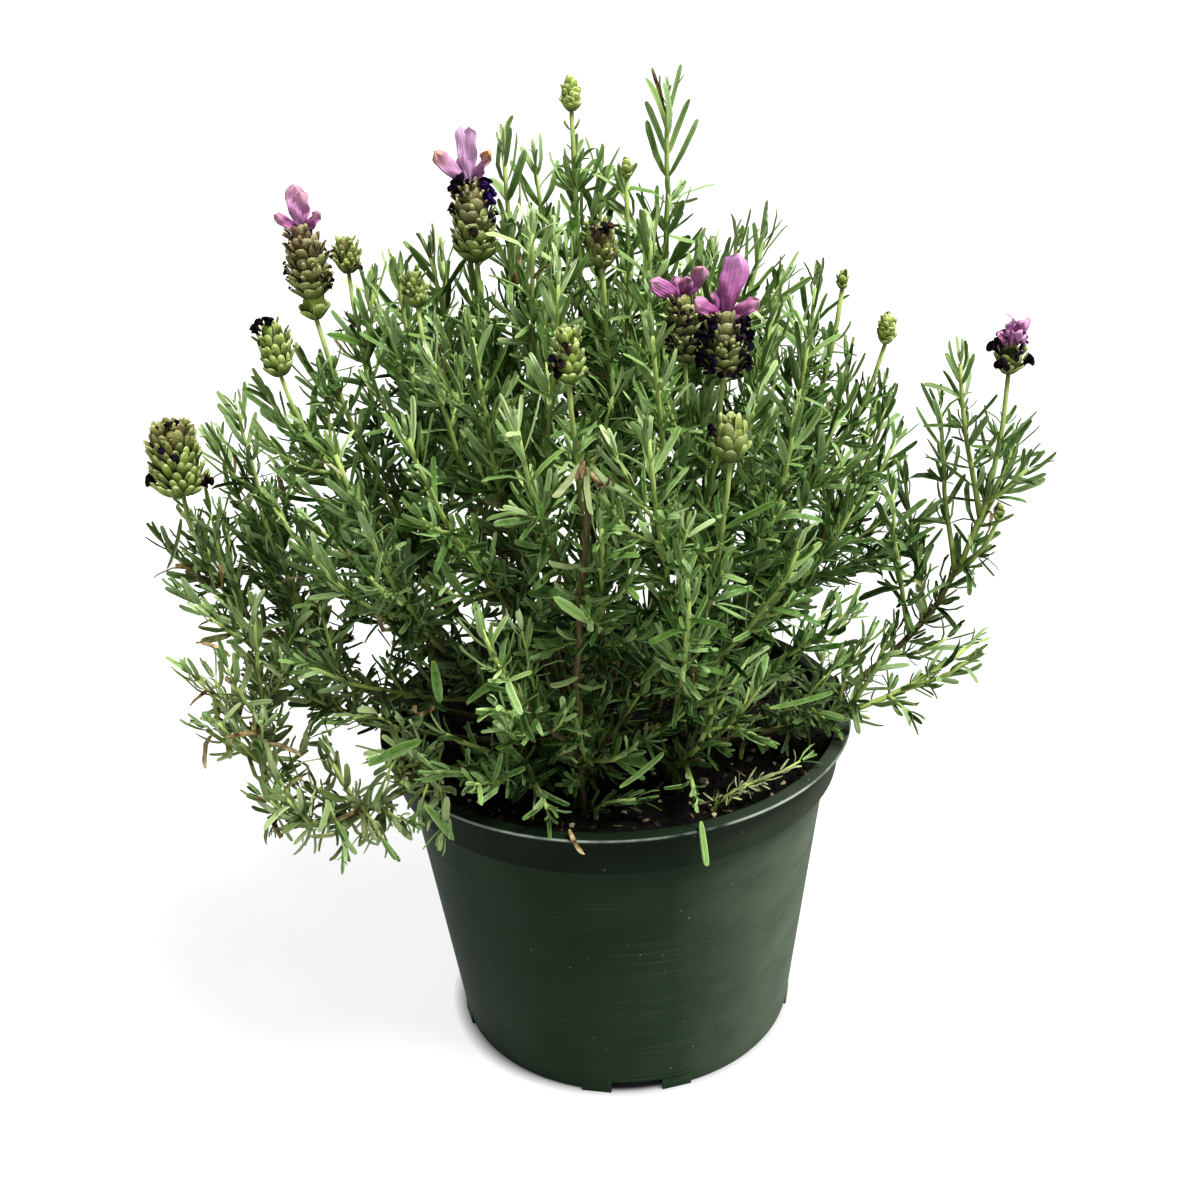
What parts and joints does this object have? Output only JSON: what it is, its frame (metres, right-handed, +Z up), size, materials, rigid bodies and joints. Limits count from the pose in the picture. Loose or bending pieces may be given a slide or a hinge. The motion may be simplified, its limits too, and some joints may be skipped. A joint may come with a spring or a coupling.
{
  "type": "potted lavender",
  "caption": "Bushy Spanish lavender with narrow leaves, scaly flower heads and purple top bracts, growing in a soil-filled round nursery pot.",
  "frame": {"origin": "centre of the pot's flat underside", "axes": "+Z up along the pot's axis, +X to the right and +Y away from the viewer in the picture"},
  "size_m": [0.3083, 0.2208, 0.3318],
  "materials": {
    "pot": "satin",
    "soil": "matte",
    "leaf_fresh": "matte",
    "leaf_shaded": "matte",
    "head_green": "matte",
    "head_dark": "matte",
    "bract": "satin"
  },
  "bodies": {
    "root": {"pot": "pot", "soil": "soil", "centre_back": "leaf_shaded", "tall_right": "leaf_fresh", "centre_left": "leaf_fresh", "centre_front": "leaf_fresh", "front_left_high": "leaf_fresh", "front_mid": "leaf_fresh", "front_right": "leaf_fresh", "front_right_low": "leaf_shaded", "right_front": "leaf_fresh", "right_high": "leaf_fresh", "right_back": "leaf_shaded", "right_branch": "leaf_fresh", "right_low": "leaf_shaded", "left_high": "leaf_fresh", "left_back": "leaf_shaded", "left_branch": "leaf_fresh", "left_mid": "leaf_fresh", "left_trailing": "leaf_fresh", "left_low": "leaf_shaded", "back_left": "leaf_shaded", "back_mid": "leaf_shaded", "back_right": "leaf_shaded", "back_low_left": "leaf_shaded", "back_low_right": "leaf_shaded", "front_low_left": "leaf_shaded", "front_low_mid": "leaf_shaded", "front_low_right": "leaf_shaded", "lying_shoot": "leaf_fresh", "rim_sprig": "leaf_fresh", "centre_back_head_1": "head_green", "centre_left_head_1": "head_green", "centre_left_bracts_1": "bract", "centre_front_head_1": "head_green", "centre_front_head_2": "head_green", "front_left_high_head_3": "head_green", "front_mid_head_1": "head_green", "front_right_head_1": "head_green", "front_right_bracts_1": "bract", "front_right_head_2": "head_dark", "front_right_bracts_2": "bract", "front_right_low_head_1": "head_green", "right_high_head_1": "head_green", "right_high_head_3": "head_green", "right_branch_head_1": "head_dark", "right_branch_bracts_1": "bract", "right_branch_head_6": "head_green", "left_high_head_1": "head_green", "left_high_bracts_1": "bract", "left_high_head_2": "head_green", "left_high_head_3": "head_green", "left_branch_head_1": "head_green"}
  },
  "joints": []
}
